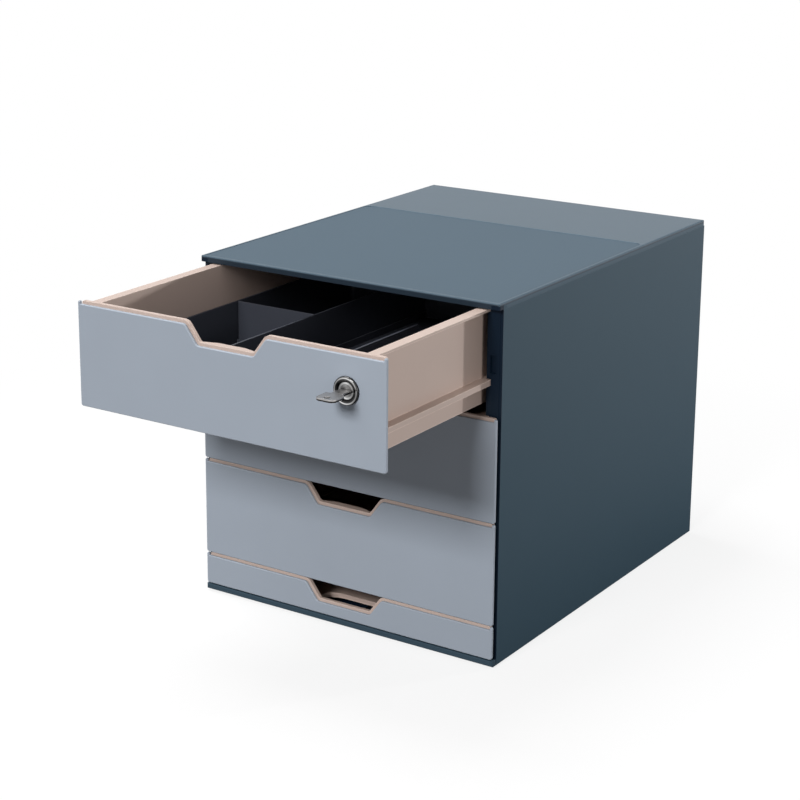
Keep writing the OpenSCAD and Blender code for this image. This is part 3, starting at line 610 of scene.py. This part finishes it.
for drawer in DRAWERS:
    front_panel(drawer)


# Carried-over nodes


def soften(node, width):
    """Gives a node's sharp edges a small round and even shading, with live modifiers only."""
    weld = node.modifiers.new("merge", "WELD")
    weld.merge_threshold = MERGE_DISTANCE
    bevel = node.modifiers.new("edges", "BEVEL")
    bevel.width = width
    bevel.segments = EDGE_SEGMENTS
    bevel.limit_method = "ANGLE"
    bevel.angle_limit = SHARP_ANGLE
    bevel.use_clamp_overlap = True
    bevel.miter_outer = "MITER_ARC"
    bevel.harden_normals = False
    node.modifiers.new("shading", "WEIGHTED_NORMAL").keep_sharp = True


EDGE_OF_SLOT = {
    "casing": CASING_EDGE,
    "tray": TRAY_EDGE,
    "organiser": THIN_EDGE,
    "lock": METAL_EDGE,
    "steel": METAL_EDGE,
    "rubber": THIN_EDGE,
}

for part in frame["record"]["subparts"]:
    node = frame["nodes"][part["node"]]
    slot = part["material_slot"]
    node.data.materials.clear()
    node.data.materials.append(FINISHES[FINISH_OF_NODE.get(part["node"], slot)])
    if slot in EDGE_OF_SLOT:
        soften(node, EDGE_OF_SLOT[slot])


# Stage


def white_floor():
    """Pale floor that keeps the object's shadow: mostly white when seen, and a duller sheet to the light.

    Gloss sees it as the camera does, but with a painted shadow close beside the right wall.
    """
    mesh = bpy.data.meshes.new("floor")
    near, far = -FLOOR_HALF, FLOOR_HALF
    mesh.from_pydata([(near, near, 0), (far, near, 0), (far, far, 0), (near, far, 0)], [], [(0, 1, 2, 3)])
    floor = bpy.data.objects.new("floor", mesh)
    bpy.context.scene.collection.objects.link(floor)
    finish = Finish("white_floor", Roughness=0.9, Specular_IOR_Level=0.0)
    path = finish.add("ShaderNodeLightPath").outputs
    aside = finish.part("X")
    # Painted shadow on the floor beside the right wall, seen only by gloss
    beside = finish.math("GREATER_THAN", aside, GLOSS_SHADOW_FROM)
    dim = finish.math("MULTIPLY", beside, finish.ramp(aside, *GLOSS_SHADOW_FADE, 1, 0))
    gloss = finish.math("MULTIPLY", path["Is Glossy Ray"], finish.math("SUBTRACT", 1.0, dim))
    seen = finish.math("MAXIMUM", path["Is Camera Ray"], path["Is Transmission Ray"])
    seen = finish.math("MAXIMUM", seen, gloss)
    finish.feed("Base Color", finish.mix(seen, FLOOR_TO_LIGHT, FLOOR_TO_SIGHT))
    glow = finish.add("ShaderNodeEmission", {"Color": (1, 1, 1, 1), "Strength": 1.0})
    away = finish.add("ShaderNodeVectorMath", {0: finish.place}, operation="LENGTH").outputs["Value"]
    share = finish.math("MULTIPLY", seen, finish.ramp(away, *GLOW_REACH, *GLOW_SHARE))
    inputs = {0: share, 1: finish.shader.outputs[0], 2: glow.outputs[0]}
    blend = finish.add("ShaderNodeMixShader", inputs)
    finish.tree.links.new(blend.outputs[0], finish.tree.nodes["Material Output"].inputs["Surface"])
    mesh.materials.append(finish.material)


def studio_sky(strength):
    """World that is white to the camera, to gloss and through glass, and a soft even light elsewhere."""
    world = bpy.data.worlds.new("studio")
    bpy.context.scene.world = world
    world.use_nodes = True
    tree = world.node_tree
    light = tree.nodes["Background"]
    light.inputs["Color"].default_value = (1, 1, 1, 1)
    light.inputs["Strength"].default_value = strength
    white = tree.nodes.new("ShaderNodeBackground")
    white.inputs["Color"].default_value = (1, 1, 1, 1)
    path = tree.nodes.new("ShaderNodeLightPath")
    seen = path.outputs["Is Camera Ray"]
    for ray in ("Is Glossy Ray", "Is Transmission Ray"):
        either = tree.nodes.new("ShaderNodeMath")
        either.operation = "MAXIMUM"
        tree.links.new(seen, either.inputs[0])
        tree.links.new(path.outputs[ray], either.inputs[1])
        seen = either.outputs[0]
    blend = tree.nodes.new("ShaderNodeMixShader")
    tree.links.new(seen, blend.inputs[0])
    tree.links.new(light.outputs[0], blend.inputs[1])
    tree.links.new(white.outputs[0], blend.inputs[2])
    tree.links.new(blend.outputs[0], tree.nodes["World Output"].inputs["Surface"])


def soft_box(name, place, aim, width, height, watts):
    """Studio lamp of a width and height at a place, turned to face a point."""
    lamp = bpy.data.lights.new(name, "AREA")
    lamp.shape = "RECTANGLE"
    lamp.size = width
    lamp.size_y = height
    lamp.energy = watts
    holder = bpy.data.objects.new(name, lamp)
    bpy.context.scene.collection.objects.link(holder)
    holder.location = place
    holder.rotation_euler = (Vector(aim) - Vector(place)).to_track_quat("-Z", "Y").to_euler()


def photo_camera():
    """Camera at the photograph's angle, with the shift that its framing needs."""
    azimuth, elevation = math.radians(CAMERA_AZIMUTH), math.radians(CAMERA_ELEVATION)
    back = Vector((
        math.sin(azimuth) * math.cos(elevation),
        -math.cos(azimuth) * math.cos(elevation),
        math.sin(elevation),
    ))
    data = bpy.data.cameras.new("photo_camera")
    data.sensor_width = SENSOR
    data.lens = FOCAL_PIXELS / IMAGE_SIDE * SENSOR
    data.shift_x = 0.5 - IMAGE_CENTRE[0] / IMAGE_SIDE
    data.shift_y = IMAGE_CENTRE[1] / IMAGE_SIDE - 0.5
    camera = bpy.data.objects.new("photo_camera", data)
    bpy.context.scene.collection.objects.link(camera)
    camera.location = CAMERA_PLACE
    camera.rotation_euler = (-back).to_track_quat("-Z", "Y").to_euler()
    bpy.context.scene.camera = camera


white_floor()
studio_sky(SKY_STRENGTH)
for lamp in LAMPS:
    soft_box(*lamp)
photo_camera()
bpy.context.scene.view_settings.view_transform = "Standard"
